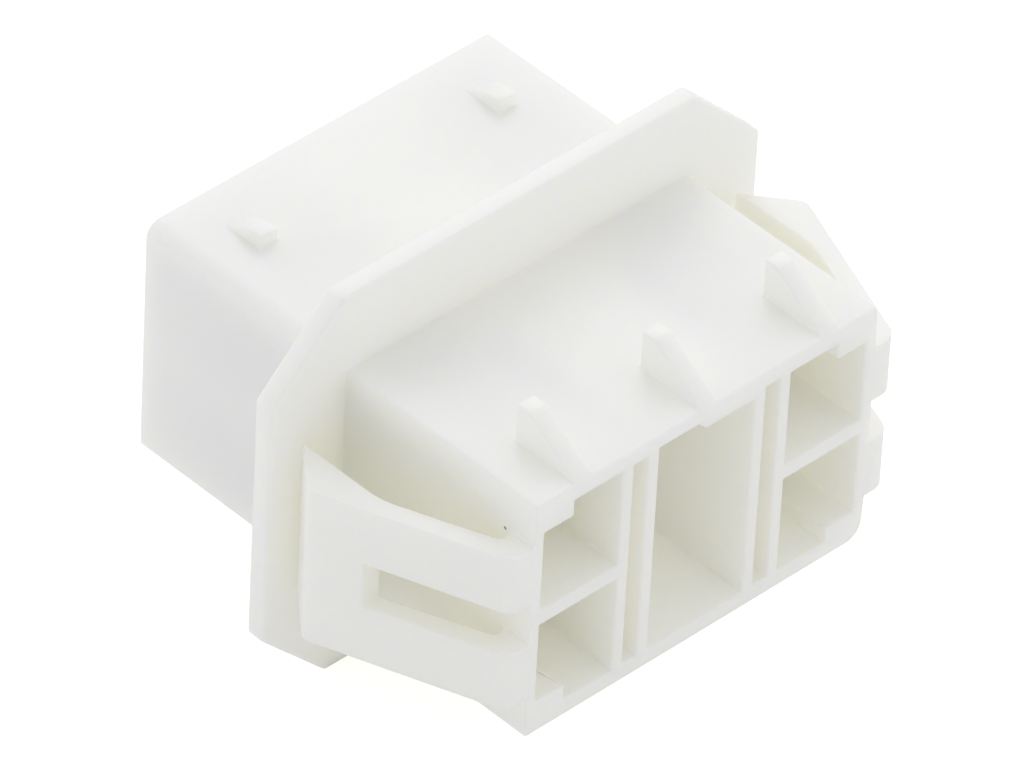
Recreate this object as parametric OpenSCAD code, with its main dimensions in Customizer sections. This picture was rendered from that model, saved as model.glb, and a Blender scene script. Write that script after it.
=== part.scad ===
// Panel-mount housing of a wire-to-board connector, moulded in one piece.
//
// Frame, in millimetres: the origin is on the body's axis in the plane where the flange meets the panel.
// +X runs across the columns of contact cavities, +Y points from the wires to the board, and +Z is up.
// The wire-entry body lies at negative Y, the flange starts at Y = 0 and the mating nose follows it.

/* [Wire-entry body] */
// Width of the body
body_w = 22.4; // [20.8:0.1:28]
// Height of the body
body_h = 14.4; // [13.6:0.1:18]
// Length of the body in front of the flange
body_len = 13; // [12.4:0.1:18]
// Radius of three of the body's long edges
edge_r = 0.25; // [0.1:0.05:0.5]
// Radius of the body's keyed long edge, at the bottom on the +X side
body_key_r = 1; // [0.4:0.1:1.2]

/* [Contact cavities] */
// Outer side wall
side_wall = 0.65; // [0.4:0.05:0.9]
// Wall above and below the cavities
cap_wall = 0.95; // [0.7:0.05:1.4]
// Wall between the two rows
web_t = 0.9; // [0.6:0.1:1.4]
// Rib on each side of a narrow slot
rib_t = 0.7; // [0.5:0.05:0.9]
// Width of the narrow slots
slot_w = 0.95; // [0.6:0.05:1.2]
// Depth of the narrow slots, from either end
slot_depth = 10; // [4:0.5:11.5]
// Width of the centre channel
centre_w = 6.3; // [5:0.1:7]
// Depth of the wide part of every cavity
cavity_depth = 12; // [9:0.5:12]
// Width of the polarising step at a cavity's outer corner
step_w = 1.9; // [1:0.1:2.4]
// Height of the polarising step
step_h = 0.95; // [0.4:0.05:1.2]
// Wall above the high part of the centre channel
centre_roof = 0.8; // [0.6:0.05:1.2]
// Width of the low part of the centre channel's roof
lintel_w = 3.25; // [1.5:0.25:4.5]
// Drop of the low part of the centre channel's roof
lintel_h = 0.5; // [0.2:0.05:1]

/* [Flange] */
// Width of the flange
flange_w = 32; // [28:0.5:40]
// Height of the flange
flange_h = 23.2; // [21:0.2:30]
// Thickness of the flange
flange_t = 1.2; // [0.8:0.1:2.5]
// Height of the flange's centre above the body's axis
flange_rise = 0.25; // [-0.5:0.05:1]
// Leg of the 45 degree corners at the top
top_chamfer = 4.5; // [1:0.1:5]
// Leg of the 45 degree corners at the bottom
bottom_chamfer = 4.2; // [1:0.1:5]

/* [Mating nose] */
// Width of the nose
nose_w = 22.5; // [21.8:0.1:28]
// Height of the nose
nose_h = 13.9; // [13.2:0.1:17]
// Length of the nose behind the flange
nose_len = 12.9; // [12.1:0.1:20]
// Height of the nose's centre above the body's axis
nose_rise = 0.4; // [-0.4:0.05:0.4]
// Wall round the passages
nose_wall = 0.9; // [0.6:0.05:1.2]
// Radius of the nose's keyed long edge, at the top on the -X side
nose_key_r = 0.9; // [0.4:0.1:1.3]
// Ledge between a cavity and its narrower passage
ledge = 0.35; // [0.1:0.05:0.5]
// Thickness of the wall that stops the contacts at the mating face
stop_t = 0.9; // [0.6:0.1:1.5]
// Lip left round each contact mouth in that wall
stop_lip = 0.65; // [0.3:0.05:1]
// Lead-in bevel of the mouths and the centre channel
lead_in = 0.4; // [0.1:0.05:0.5]

/* [Lock bumps] */
// Distance between the two bumps
bump_pitch = 15.7; // [8:0.1:18]
// Width of a bump
bump_w = 1.15; // [0.6:0.05:2.5]
// Height of a bump
bump_h = 0.75; // [0.3:0.05:1.2]
// Length of a bump's flat top
bump_flat = 0.9; // [0.3:0.1:1.5]
// Length of a bump's ramp
bump_ramp = 1.5; // [0.5:0.1:2.2]
// Distance from the mating face to the foot of the ramp
bump_setback = 2.6; // [1:0.1:5]

/* [Gusset ribs] */
// Number of ribs
gusset_count = 3; // [2:1:5]
// Distance between the outermost ribs
gusset_span = 16.2; // [10:0.2:18]
// Thickness of a rib
gusset_t = 1.1; // [0.6:0.1:2]
// Height of a rib
gusset_h = 2.3; // [1:0.1:4]
// Length of a rib from the wire-entry face
gusset_len = 4.2; // [2:0.1:8]
// Length of a rib's flat top
gusset_flat = 0.9; // [0.3:0.1:1.5]

/* [Lock arms] */
// Height of an arm
arm_h = 9.4; // [6:0.1:12]
// Thickness of an arm's leaf
leaf_t = 1.1; // [0.7:0.05:1.3]
// Angle of the leaf from the body's side
leaf_angle = 21.1; // [19:0.1:23]
// Width of an arm's root at the wire-entry face, before its outer edge is rounded
root_w = 1.35; // [1.2:0.05:1.8]
// Radius of the root's outer edge
root_r = 1; // [0.4:0.1:1.1]
// Radius of the leaf's long outer edges
arm_edge_r = 0.45; // [0.1:0.05:0.6]
// Radius at the closed end of the gap behind the leaf
gap_r = 0.45; // [0.2:0.05:0.45]
// Distance from the body's side to an arm's stop end
stop_gap = 3; // [2.4:0.1:3.4]
// Radius of the bend on the leaf's inner side
bend_r = 4; // [1:0.5:6]
// Distance from the body's side to an arm's outer land
arm_reach = 5.1; // [4.8:0.05:5.6]
// Distance from the arm's tip to the flange
tip_gap = 0.3; // [0.2:0.05:1]
// Angle of the stop end from the body's side
stop_angle = 39; // [36:1:55]
// Height of the slot through an arm
arm_slot_h = 2.6; // [1:0.1:4]
// Distance from the wire-entry face to the end of that slot
arm_slot_len = 7.2; // [3:0.1:8]

/* [Hidden] */
$fn = 48;
// How far a cutter runs past the face that it opens, and one solid runs into the next.
over = 1;
sink = 0.3;

wire_y = -body_len;
mating_y = flange_t + nose_len;
nose_top = nose_rise + nose_h / 2;
side_x = body_w / 2;

// Inner and outer edge of a column of cavities, and of the slots beside the centre channel.
slot_in = centre_w / 2 + rib_t;
column_in = slot_in + slot_w + rib_t;
column_out = side_x - side_wall;
// Upper edge of the top row, and the same for the passages in the nose.
row_in = web_t / 2;
row_out = body_h / 2 - cap_wall;
passage_out = nose_h / 2 - abs(nose_rise) - nose_wall;
passage_in = row_in + ledge;
passage_side = nose_w / 2 - nose_wall;

// The +X arm in plan: the directions along and out of its outer face, its tip and its root. The root's
// outer edge is a radius that touches the wire-entry face and the outer face.
along = [sin(leaf_angle), cos(leaf_angle)];
outward = [cos(leaf_angle), -sin(leaf_angle)];
tip_y = -tip_gap;
root_x = side_x + root_w - root_r * (1 - sin(leaf_angle)) / cos(leaf_angle);
root_centre = [root_x, wire_y + root_r];
root_tangent = root_centre + root_r * outward;

// Extrudes an outline drawn in X and Z from y0 to y1.
module along_y(y0, y1) {
    translate([0, y1, 0])
        rotate([90, 0, 0])
            linear_extrude(y1 - y0)
                children();
}

// Rectangle between two corners.
module rect(x0, z0, x1, z1) {
    translate([x0, z0])
        square([x1 - x0, z1 - z0]);
}

// What a radius of r takes away from a corner at the origin, with the material at positive X and Z.
module corner_waste(r) {
    difference() {
        translate([-over, -over])
            square(r + over);
        translate([r, r])
            circle(r);
    }
}

// Rectangle centred on the origin, with the radii of its corners from the top right anticlockwise.
module rounded_rect(w, h, radii) {
    signs = [[1, 1], [-1, 1], [-1, -1], [1, -1]];
    difference() {
        square([w, h], center = true);
        for (i = [0:3])
            translate([signs[i][0] * w / 2, signs[i][1] * h / 2])
                mirror([signs[i][0] > 0 ? 1 : 0, 0])
                    mirror([0, signs[i][1] > 0 ? 1 : 0])
                        corner_waste(radii[i]);
    }
}

// Copies an outline to the four cavities.
module four_ways() {
    for (side = [0, 1], row = [0, 1])
        mirror([side, 0])
            mirror([0, row])
                children();
}

// Rectangular funnel that widens by lead_in on every side up to the mating face.
module funnel(x0, z0, x1, z1) {
    intersection() {
        translate([0, 0, z0 - lead_in])
            linear_extrude(z1 - z0 + 2 * lead_in)
                polygon([
                    [x0, mating_y - lead_in], [x1, mating_y - lead_in],
                    [x1 + lead_in, mating_y], [x0 - lead_in, mating_y],
                ]);
        translate([x0 - lead_in, 0, 0])
            rotate([90, 0, 90])
                linear_extrude(x1 - x0 + 2 * lead_in)
                    polygon([
                        [mating_y - lead_in, z0], [mating_y - lead_in, z1],
                        [mating_y, z1 + lead_in], [mating_y, z0 - lead_in],
                    ]);
    }
}

module body_block() {
    along_y(wire_y, sink)
        rounded_rect(body_w, body_h, [edge_r, edge_r, edge_r, body_key_r]);
}

module nose_block() {
    along_y(flange_t - sink, mating_y)
        translate([0, nose_rise])
            rounded_rect(nose_w, nose_h, [edge_r, nose_key_r, edge_r, edge_r]);
}

module flange() {
    x = flange_w / 2;
    z = flange_h / 2;
    along_y(0, flange_t)
        translate([0, flange_rise])
            polygon([
                [x - top_chamfer, z], [-x + top_chamfer, z],
                [-x, z - top_chamfer], [-x, -z + bottom_chamfer],
                [-x + bottom_chamfer, -z], [x - bottom_chamfer, -z],
                [x, -z + bottom_chamfer], [x, z - top_chamfer],
            ]);
}

// Wedge on top of the nose that the board half snaps over: ramp to the rear, stop face to the front.
module lock_bump() {
    ramp_foot = mating_y - bump_setback;
    ramp_head = ramp_foot - bump_ramp;
    stop_y = ramp_head - bump_flat;
    translate([-bump_w / 2, 0, nose_top])
        rotate([90, 0, 90])
            linear_extrude(bump_w)
                polygon([
                    [stop_y, -sink], [stop_y, bump_h], [ramp_head, bump_h],
                    [ramp_foot, 0], [ramp_foot, -sink],
                ]);
}

// Triangular rib on top of the body that rises from the wire-entry edge.
module gusset() {
    back_y = wire_y + gusset_len;
    translate([-gusset_t / 2, 0, body_h / 2])
        rotate([90, 0, 90])
            linear_extrude(gusset_t)
                polygon([
                    [wire_y, -sink], [wire_y, 0], [back_y - gusset_flat, gusset_h],
                    [back_y, gusset_h], [back_y, -sink],
                ]);
}

// The +X arm in plan with the gap still filled. The outer face runs straight past the tip, and the land
// and the stop end cut it to length.
module arm_plan() {
    leaf_end = root_tangent + along * 2 * body_len;
    land_x = side_x + arm_reach;
    land_y = tip_y - (arm_reach - stop_gap) / tan(stop_angle);
    intersection() {
        union() {
            translate(root_centre)
                circle(root_r);
            polygon([
                [side_x - sink, wire_y], [root_x, wire_y], root_tangent, leaf_end,
                [side_x - sink, leaf_end.y],
            ]);
        }
        polygon([
            [side_x - sink, wire_y], [land_x, wire_y], [land_x, land_y],
            [side_x + stop_gap, tip_y], [side_x - sink, tip_y],
        ]);
    }
}

// The gap behind the leaf in plan. Its closed end touches the body's side and the leaf's inner face, which
// further on bends on a radius until it is parallel to the body's side.
module arm_gap_plan() {
    inner_face = root_tangent * outward - leaf_t;
    gap_x = side_x + gap_r;
    gap_centre = [gap_x, (inner_face - gap_r - gap_x * outward.x) / outward.y];
    bend_x = side_x + stop_gap - bend_r;
    bend_centre = [bend_x, (inner_face - bend_r - bend_x * outward.x) / outward.y];
    translate(gap_centre)
        circle(gap_r);
    translate(bend_centre)
        circle(bend_r);
    polygon([
        [side_x, gap_centre.y], gap_centre + gap_r * outward,
        bend_centre + bend_r * outward, bend_centre + [bend_r, 0],
        [side_x + stop_gap, tip_y + over], [side_x, tip_y + over],
    ]);
    // What the arm sinks into the body ends with the root.
    rect(side_x - sink - over, gap_centre.y, side_x, tip_y + over);
}

// Lock arm on the +X side: a leaf that leaves the body at the wire-entry face and ends in a barb, whose
// slanted stop end holds the panel against the flange. A slot from the root splits the leaf in two legs.
module lock_arm() {
    intersection() {
        difference() {
            linear_extrude(arm_h, center = true)
                difference() {
                    arm_plan();
                    arm_gap_plan();
                }
            translate([side_x, wire_y - over, -arm_slot_h / 2])
                cube([arm_reach + over, arm_slot_len + over, arm_slot_h]);
        }
        // A bar along the outer face rounds the leaf's long edges, and is deep enough for the whole arm.
        translate(root_tangent)
            rotate(-leaf_angle)
                along_y(-body_len, 2 * body_len)
                    translate([-body_len, 0])
                        rounded_rect(2 * body_len, arm_h, [for (i = [0:3]) arm_edge_r]);
    }
}

// The four contact cavities with their polarising steps, the narrower passages behind them and the mouths.
module contact_cavities() {
    along_y(wire_y - over, wire_y + cavity_depth)
        four_ways()
            difference() {
                rect(column_in, row_in, column_out, row_out);
                rect(column_out - step_w, row_out - step_h, column_out + over, row_out + over);
            }
    along_y(wire_y + cavity_depth - over, mating_y - stop_t)
        four_ways()
            rect(column_in + ledge, passage_in, passage_side, passage_out);
    along_y(mating_y - stop_t - over, mating_y + over)
        four_ways()
            rect(column_in + ledge + stop_lip, passage_in + stop_lip,
                 passage_side - stop_lip, passage_out - stop_lip);
    for (side = [0, 1], row = [0, 1])
        mirror([side, 0, 0])
            mirror([0, 0, row])
                funnel(column_in + ledge + stop_lip, passage_in + stop_lip,
                       passage_side - stop_lip, passage_out - stop_lip);
}

// Tall channel between the two columns, open at both ends.
module centre_channel() {
    roof = body_h / 2 - centre_roof;
    along_y(wire_y - over, wire_y + cavity_depth)
        polygon([
            [-centre_w / 2, -row_out], [centre_w / 2, -row_out], [centre_w / 2, roof - lintel_h],
            [centre_w / 2 - lintel_w, roof - lintel_h], [centre_w / 2 - lintel_w - lintel_h, roof],
            [-centre_w / 2, roof],
        ]);
    along_y(wire_y + cavity_depth - over, mating_y + over)
        rect(-centre_w / 2 + ledge, -passage_out, centre_w / 2 - ledge, passage_out);
    funnel(-centre_w / 2 + ledge, -passage_out, centre_w / 2 - ledge, passage_out);
}

// Narrow slots beside the centre channel, one from each end.
module relief_slots() {
    for (side = [0, 1])
        mirror([side, 0, 0]) {
            along_y(wire_y - over, wire_y + slot_depth)
                rect(slot_in, -row_out, slot_in + slot_w, row_out);
            along_y(mating_y - slot_depth, mating_y + over)
                rect(slot_in, -passage_out, slot_in + slot_w, passage_out);
        }
}

module housing() {
    color("ivory") {
        difference() {
            union() {
                body_block();
                flange();
                nose_block();
            }
            contact_cavities();
            centre_channel();
            relief_slots();
        }
        for (side = [0, 1])
            mirror([side, 0, 0]) {
                lock_arm();
                translate([bump_pitch / 2, 0, 0])
                    lock_bump();
            }
        for (i = [0:gusset_count - 1])
            translate([(i / (gusset_count - 1) - 0.5) * gusset_span, 0, 0])
                gusset();
    }
}

housing();
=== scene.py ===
# %% [markdown]
# # Connector housing in natural nylon
# The object is one injection moulding: a square wire-entry body, a thin flange that seats on a panel, a
# mating nose behind it and two forked lock arms. The CAD model holds its true sizes. This script gives the
# moulding the small edge radii and the finish that nylon has when it leaves the tool, and sets up a plain
# studio.
#
# ## The frame
# The imported CAD model is loaded first and is never changed. Its box is kept.

# %% Load the frame
import math

import bpy
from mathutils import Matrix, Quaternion, Vector


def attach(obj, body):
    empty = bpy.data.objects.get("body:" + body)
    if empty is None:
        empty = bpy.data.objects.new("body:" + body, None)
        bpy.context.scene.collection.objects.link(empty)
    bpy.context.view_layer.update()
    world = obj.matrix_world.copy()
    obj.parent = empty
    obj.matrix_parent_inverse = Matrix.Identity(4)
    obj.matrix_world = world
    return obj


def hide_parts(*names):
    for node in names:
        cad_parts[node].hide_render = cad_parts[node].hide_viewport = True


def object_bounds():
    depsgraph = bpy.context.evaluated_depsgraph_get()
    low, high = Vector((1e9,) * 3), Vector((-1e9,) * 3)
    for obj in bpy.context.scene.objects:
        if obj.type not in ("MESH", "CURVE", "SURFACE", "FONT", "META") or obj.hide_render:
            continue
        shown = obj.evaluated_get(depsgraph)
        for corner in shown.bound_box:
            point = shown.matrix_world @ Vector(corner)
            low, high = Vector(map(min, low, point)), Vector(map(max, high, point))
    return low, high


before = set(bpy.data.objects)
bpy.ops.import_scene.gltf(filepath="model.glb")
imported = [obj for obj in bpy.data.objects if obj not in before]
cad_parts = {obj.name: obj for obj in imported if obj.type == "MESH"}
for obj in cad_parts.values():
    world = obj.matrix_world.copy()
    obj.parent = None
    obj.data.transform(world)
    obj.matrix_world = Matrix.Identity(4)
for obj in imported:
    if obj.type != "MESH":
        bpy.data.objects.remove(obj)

MM = 0.001
scene = bpy.context.scene
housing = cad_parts["housing"]
cad_box = [list(corner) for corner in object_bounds()]
print("CAD box in mm:", [[round(v / MM, 2) for v in corner] for corner in cad_box])

# %% [markdown]
# ## The camera
# A long lens from well above the wire-entry corner flattens the perspective, as product shots of small
# parts do. The camera is placed by azimuth, elevation and distance from the point that it looks at, and it
# is rolled a little, so the upright edges lean. Azimuth is counted from +Y toward +X, as on a compass.
# Placing it by angles, and not by three coordinates, means that one number can be turned without losing
# the object.

# %% Camera
VIEW_AZIMUTH = math.radians(45.4)
VIEW_ELEVATION = math.radians(40.41)
VIEW_DISTANCE = 597 * MM
VIEW_ROLL = math.radians(3.09)
LENS = 439.7
NEAREST_SEEN = 10 * MM


def direction(azimuth, elevation):
    """Unit vector that points away from the viewer, down by the elevation."""
    level = math.cos(elevation)
    return Vector((math.sin(azimuth) * level, math.cos(azimuth) * level, -math.sin(elevation)))


look = direction(VIEW_AZIMUTH, VIEW_ELEVATION)
look_at = Vector((-1.45, -1.32, 1.85)) * MM
bpy.ops.object.camera_add()
camera = bpy.context.object
camera.data.lens = LENS
camera.data.clip_start = NEAREST_SEEN
camera.location = look_at - look * VIEW_DISTANCE
camera.rotation_mode = "QUATERNION"
camera.rotation_quaternion = look.to_track_quat("-Z", "Y") @ Quaternion((0, 0, 1), VIEW_ROLL)
scene.camera = camera
print("Camera in mm:", [round(v / MM, 1) for v in camera.location])

# %% [markdown]
# ## The moulding, 1: a clean copy
# The CAD mesh is loose triangles. A copy of it is welded and its flat triangles are dissolved, so that
# every fold that is left is a real edge of the part. The original stays as it is, for collision.

# %% Clean copy of the CAD mesh
WELD = 0.002 * MM
FLAT = math.radians(0.5)


def only(piece):
    """Leaves nothing but this piece selected and active."""
    bpy.ops.object.select_all(action="DESELECT")
    piece.select_set(True)
    bpy.context.view_layer.objects.active = piece


only(housing)
bpy.ops.object.duplicate()
moulding = bpy.context.object
moulding.name = "housing_moulding"
only(moulding)
bpy.ops.object.mode_set(mode="EDIT")
bpy.ops.mesh.select_mode(type="EDGE")
bpy.ops.mesh.select_all(action="SELECT")
bpy.ops.mesh.remove_doubles(threshold=WELD)
bpy.ops.mesh.dissolve_limited(angle_limit=FLAT)
bpy.ops.object.mode_set(mode="OBJECT")
print("Clean copy:", len(moulding.data.polygons), "faces,", len(moulding.data.edges), "edges")

# %% [markdown]
# ## The moulding, 2: edge radii
# No edge of a moulding is truly sharp: the cutter that made the steel tool leaves a small radius, and melt
# doesn't fill the last tenth of a millimetre of a corner. Those radii catch the light as thin bright
# lines, and without them a pale part looks like paper. A bevel shader could fake them, but it wouldn't
# leave Blender, so they are modelled.
#
# The flange's thin rim has a larger radius than the rest. Each family of edges is found by its place, and
# the bevel operator rounds it. Two of its options matter here. Loop slide is off, because new corners
# would run far along the slanting lines that divide a face with holes. Clamp overlap is off, because it
# would give every edge the radius that fits the tightest spot. That spot is where an arm's root runs into
# the body at a slant: the faces are slivers there that a round would turn over, so those edges are left
# out and stay sharp.

# %% Edge families
SHARP = math.radians(25)
SMOOTH = math.radians(30)
SEGMENTS = 3
RIM_RADIUS = 0.2 * MM
EDGE_RADIUS = 0.12 * MM
# Where the edges lie. The last two say how far a place may be off a face and still belong to it.
BODY_SIDE = 11.2 * MM
BODY_TOP = 7.2 * MM
FLANGE_BACK = 1.2 * MM
ROOT_END = -10.2 * MM
ROOT_TOP = 5.4 * MM
NEAR = 0.3 * MM
HARDLY = 0.1 * MM


def on_arm_root(place):
    """Where an arm grows out of the body's side."""
    return abs(place.x) > BODY_SIDE - NEAR and place.y < ROOT_END and abs(place.z) < ROOT_TOP


def on_flange_rim(place):
    """The flange's outline, clear of the body and the nose."""
    beside = abs(place.x) > BODY_SIDE + NEAR or abs(place.z) > BODY_TOP + 2 * NEAR
    return beside and -HARDLY < place.y < FLANGE_BACK + HARDLY


def on_other_edge(place):
    """Every other edge that is rounded."""
    return not on_arm_root(place) and not on_flange_rim(place)


def round_edges(belongs, radius):
    """Rounds the sharp edges whose middle is where belongs() says, and returns their number."""
    only(moulding)
    bpy.ops.object.mode_set(mode="EDIT")
    bpy.ops.mesh.select_mode(type="EDGE")
    bpy.ops.mesh.select_all(action="DESELECT")
    bpy.ops.mesh.edges_select_sharp(sharpness=SHARP)
    bpy.ops.object.mode_set(mode="OBJECT")
    mesh = moulding.data
    chosen = []
    for edge in mesh.edges:
        start, end = (mesh.vertices[i] for i in edge.vertices)
        if edge.select and belongs((start.co + end.co) / 2):
            chosen.append(edge)
    for item in [*mesh.vertices, *mesh.edges, *mesh.polygons]:
        item.select = False
    for edge in chosen:
        edge.select = True
        for i in edge.vertices:
            mesh.vertices[i].select = True
    bpy.ops.object.mode_set(mode="EDIT")
    bpy.ops.mesh.bevel(offset=radius, segments=SEGMENTS, clamp_overlap=False, loop_slide=False)
    bpy.ops.object.mode_set(mode="OBJECT")
    return len(chosen)


print("Flange rim:", round_edges(on_flange_rim, RIM_RADIUS), "edges")
print("Other edges:", round_edges(on_other_edge, EDGE_RADIUS), "edges")
bpy.ops.object.shade_smooth_by_angle(angle=SMOOTH)
print("Moulding:", len(moulding.data.polygons), "faces")

# %% [markdown]
# ## Natural nylon, 1: helpers
# Colours are written as the eye meets them on a screen, in sRGB, and one function turns them to the linear
# values that the shader works in. Another one adds a node with its settings and links, so that each
# material reads as a list of what it is made of.

# %% Helpers for materials


def colour(hex_value):
    """An sRGB hex colour as linear red, green, blue and alpha."""
    parts = [int(hex_value[i:i + 2], 16) / 255 for i in (1, 3, 5)]
    return [v / 12.92 if v <= 0.04045 else ((v + 0.055) / 1.055) ** 2.4 for v in parts] + [1]


def add_node(tree, kind, settings=(), inputs=(), links=()):
    """Adds a node, sets its properties and sockets, and links other nodes' outputs to it."""
    made = tree.nodes.new(kind)
    for name, value in dict(settings).items():
        setattr(made, name, value)
    for name, value in dict(inputs).items():
        made.inputs[name].default_value = value
    for name, (source, output) in dict(links).items():
        tree.links.new(source.outputs[output], made.inputs[name])
    return made


def new_material(name):
    """An empty node material and its output node."""
    material = bpy.data.materials.new(name)
    material.use_nodes = True
    material.node_tree.nodes.clear()
    return material, add_node(material.node_tree, "ShaderNodeOutputMaterial")


# A Mix node has sockets for numbers, vectors and colours under the same names, so they are told apart by
# their place.
FACTOR = 0
A_COLOUR = 6
B_COLOUR = 7
MIXED_COLOUR = 2
print("sRGB #808080 in linear:", [round(v, 3) for v in colour("#808080")])

# %% [markdown]
# ## Natural nylon, 2: colour
# The housing is unfilled polyamide 66 with no pigment. It scatters light so well that it looks milky
# white, with a trace of yellow that builds up wherever light bounces many times, deep in a cavity. Three
# things vary its colour:
#
# - the melt cools at different speeds, which leaves soft clouds, about 6 mm across, that are hardly seen;
# - pockets and narrow gaps look warmer, because light leaves them only after many bounces. A render stops
#   after a few, so an Ambient Occlusion node paints that lost bounce light into the colour, as a warmer
#   tint that grows the more closed a pocket is;
# - a grain of overheated resin shows now and then as a tiny dark speck. This part has one, beside the root
#   of the -X arm.

# %% Colour of the nylon
MILKY = "#fffffb"
MILKY_CLOUD = "#fefef9"
PAINTED_BOUNCE_WARMTH = "#fffef4"
SCORCHED = "#8a8a80"
CLOUD_SIZE = 6 * MM
POCKET_SIZE = 7 * MM
SPECK_PLACE = (-11.2 * MM, -11.0 * MM, 4.7 * MM)
SPECK_RADIUS = 0.13 * MM

nylon, nylon_output = new_material("natural_nylon_66_spark_eroded")
tree = nylon.node_tree
place = add_node(tree, "ShaderNodeTexCoord")
clouds = add_node(tree, "ShaderNodeTexNoise", inputs={"Scale": 1 / CLOUD_SIZE, "Detail": 0},
                  links={"Vector": (place, "Object")})
cloudy = add_node(tree, "ShaderNodeMix", {"data_type": "RGBA"},
                  {A_COLOUR: colour(MILKY), B_COLOUR: colour(MILKY_CLOUD)}, {FACTOR: (clouds, "Fac")})
# Painted bounce light: the AO node tints closed pockets warmer, in place of the bounces that the render
# cuts off.
pocket = add_node(tree, "ShaderNodeAmbientOcclusion", {"samples": 1}, {"Distance": POCKET_SIZE})
openness = add_node(tree, "ShaderNodeMapRange", inputs={"From Min": 0.2, "From Max": 0.9},
                    links={"Value": (pocket, "AO")})
with_painted_bounce = add_node(tree, "ShaderNodeMix", {"data_type": "RGBA"}, {A_COLOUR: colour(PAINTED_BOUNCE_WARMTH)},
                  {FACTOR: (openness, "Result"), B_COLOUR: (cloudy, MIXED_COLOUR)})
from_speck = add_node(tree, "ShaderNodeVectorMath", {"operation": "DISTANCE"}, {1: SPECK_PLACE},
                      {0: (place, "Object")})
in_speck = add_node(tree, "ShaderNodeMapRange", {"interpolation_type": "SMOOTHSTEP"},
                    {"From Min": SPECK_RADIUS, "From Max": 0.3 * SPECK_RADIUS},
                    {"Value": (from_speck, "Value")})
specked = add_node(tree, "ShaderNodeMix", {"data_type": "RGBA"}, {B_COLOUR: colour(SCORCHED)},
                   {FACTOR: (in_speck, "Result"), A_COLOUR: (with_painted_bounce, MIXED_COLOUR)})
print("Colour nodes:", len(tree.nodes))

# %% [markdown]
# ## Natural nylon, 3: surface
# The tool's faces were spark eroded and lightly polished, and the plastic copies their fine grain, which
# blurs every gloss. Sparks leave pits of about 0.02 mm, too fine to show from here, so the grain is drawn
# at 0.12 mm. Under it lies a much wider, gentle swell, as flat faces over thick and thin walls sink by
# different amounts when they cool. Light goes about 2 mm into unfilled nylon, red furthest, so thin walls
# and edges stay bright.

# %% Surface of the nylon
GRAIN_SIZE = 0.12 * MM
SINK_SIZE = 2.5 * MM
LIGHT_DEPTH = 2.1 * MM

sinks = add_node(tree, "ShaderNodeTexNoise", inputs={"Scale": 1 / SINK_SIZE, "Detail": 0},
                 links={"Vector": (place, "Object")})
sink_bump = add_node(tree, "ShaderNodeBump", inputs={"Strength": 0.25, "Distance": 0.02 * MM},
                     links={"Height": (sinks, "Fac")})
grain = add_node(tree, "ShaderNodeTexNoise", inputs={"Scale": 1 / GRAIN_SIZE, "Detail": 1},
                 links={"Vector": (place, "Object")})
grain_bump = add_node(tree, "ShaderNodeBump", inputs={"Strength": 0.15, "Distance": 0.01 * MM},
                      links={"Height": (grain, "Fac"), "Normal": (sink_bump, "Normal")})
surface = add_node(tree, "ShaderNodeBsdfPrincipled",
                   inputs={"IOR": 1.53, "Roughness": 0.42, "Subsurface Weight": 0.75,
                           "Subsurface Radius": (1, 0.95, 0.7), "Subsurface Scale": LIGHT_DEPTH},
                   links={"Base Color": (specked, MIXED_COLOUR), "Normal": (grain_bump, "Normal")})
tree.links.new(surface.outputs["BSDF"], nylon_output.inputs["Surface"])
print("Nylon:", len(tree.nodes), "nodes, light goes", round(LIGHT_DEPTH / MM, 1), "mm deep")

# %% [markdown]
# ## Dress the part
# The moulding stands for the CAD node, which keeps its shape for collision. Both get the nylon, and the
# moulding rides on the only body that the object has.

# %% Finish and body of the moulding
for piece in (moulding, housing):
    piece.data.materials.clear()
    piece.data.materials.append(nylon)
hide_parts("housing")
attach(moulding, "root")
print(moulding.name, "replaces housing and rides on root")

# %% [markdown]
# ## The studio, 1: the floor
# The part stands on matt white paper. Paper alone would come out a light grey here, so what the camera
# sees of it is lifted to white by a little glow. The glow is for camera rays only: it throws no light on
# the part, and the soft shadow under the part stays.

# %% Floor
PAPER_WHITE = "#fafafa"
PAPER_METRES = 4
PAPER_GLOW = 0.45

bpy.ops.mesh.primitive_plane_add(size=PAPER_METRES, location=(0, 0, cad_box[0][2]))
floor = bpy.context.object
floor.name = "floor"
paper, paper_output = new_material("matt_white_paper")
tree = paper.node_tree
rays = add_node(tree, "ShaderNodeLightPath")
sheet = add_node(tree, "ShaderNodeBsdfDiffuse", inputs={"Color": colour(PAPER_WHITE)})
glow = add_node(tree, "ShaderNodeEmission", inputs={"Strength": PAPER_GLOW})
lifted = add_node(tree, "ShaderNodeAddShader", links={0: (sheet, "BSDF"), 1: (glow, "Emission")})
seen = add_node(tree, "ShaderNodeMixShader",
                links={0: (rays, "Is Camera Ray"), 1: (sheet, "BSDF"), 2: (lifted, "Shader")})
tree.links.new(seen.outputs["Shader"], paper_output.inputs["Surface"])
floor.data.materials.append(paper)
print("Floor at", round(cad_box[0][2] / MM, 2), "mm")

# %% [markdown]
# ## The studio, 2: the light tent
# Small pale parts are shot in a tent of white cloth. Light comes from all round, with hardly a shadow, and
# only the opening that the lens looks through is dimmer, so faces that point at the lens are a shade
# darker than those that point up. The world plays the tent: its strength falls off softly round the view
# direction.

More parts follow.
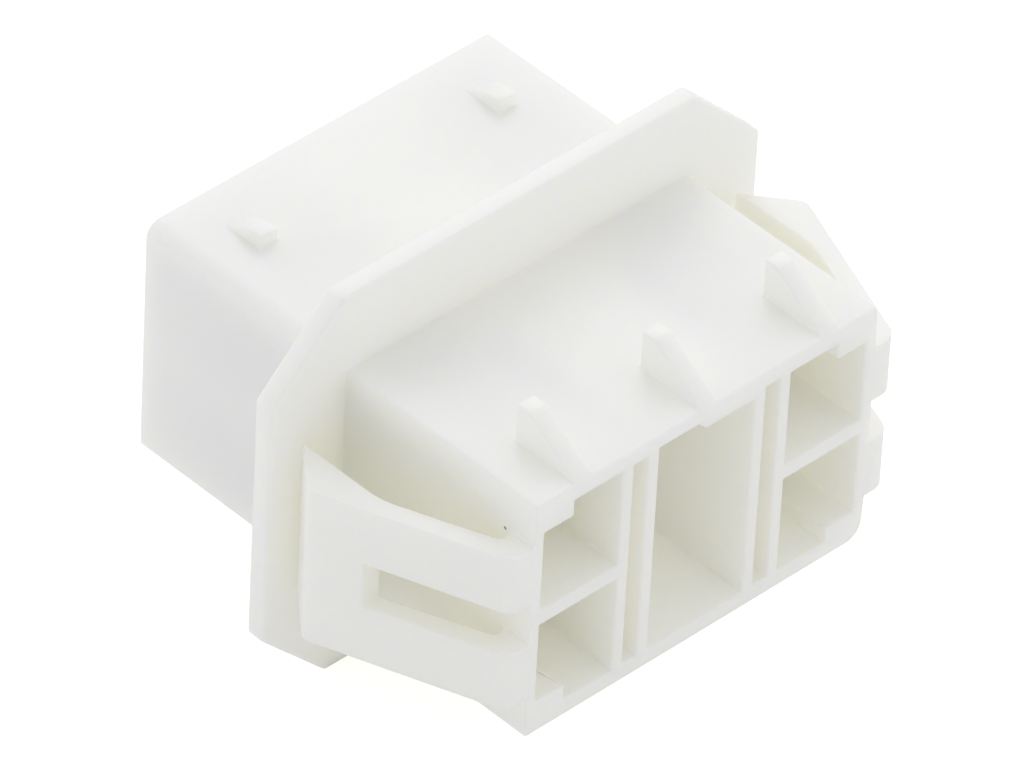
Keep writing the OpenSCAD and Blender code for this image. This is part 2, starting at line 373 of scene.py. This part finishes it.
# %% Light tent
TENT_STRENGTH = 0.885
OPENING_STRENGTH = 0.62
# Cosines of the angle to the view direction at which the opening begins and is full.
OPENING_BEGINS = 0.55
OPENING_FULL = 0.95

tent = bpy.data.worlds.new("light_tent")
tent.use_nodes = True
scene.world = tent
tree = tent.node_tree
cloth = tree.nodes["Background"]
cloth.inputs["Color"].default_value = (1, 1, 1, 1)
sky = add_node(tree, "ShaderNodeTexCoord")
facing = add_node(tree, "ShaderNodeVectorMath", {"operation": "DOT_PRODUCT"}, {1: -look},
                  {0: (sky, "Generated")})
opening = add_node(tree, "ShaderNodeMapRange", {"interpolation_type": "SMOOTHSTEP"},
                   {"From Min": OPENING_BEGINS, "From Max": OPENING_FULL,
                    "To Min": TENT_STRENGTH, "To Max": OPENING_STRENGTH},
                   {"Value": (facing, "Value")})
tree.links.new(opening.outputs["Result"], cloth.inputs["Strength"])
print("Tent", TENT_STRENGTH, "with an opening of", OPENING_STRENGTH)

# %% [markdown]
# ## The studio, 3: the key light
# One wide lamp behind the part gives the top faces their lead and a soft sheen. It is half as wide as it
# is far away, so it throws no hard edge. Light bounces on between white walls for a long time, and each
# bounce that is cut off leaves the cavities too dark, so a few more are allowed than Blender's four.

# %% Key light and bounces
KEY_ELEVATION = math.radians(42)
KEY_DISTANCE = 300 * MM
KEY_SIZE = 150 * MM
KEY_WATTS = 0.08

key_way = direction(VIEW_AZIMUTH + math.pi, KEY_ELEVATION)
bpy.ops.object.light_add(type="AREA", location=-key_way * KEY_DISTANCE)
key = bpy.context.object
key.data.size = KEY_SIZE
key.data.energy = KEY_WATTS
key.rotation_mode = "QUATERNION"
key.rotation_quaternion = key_way.to_track_quat("-Z", "Y")
scene.cycles.max_bounces = 16
scene.cycles.diffuse_bounces = 12
print("Key light in mm:", [round(v / MM) for v in key.location])

# %% [markdown]
# ## Finish
# The Standard view shows a colour about as it is written. The radii only take a little off the edges.

# %% Finish
scene.view_settings.view_transform = "Standard"
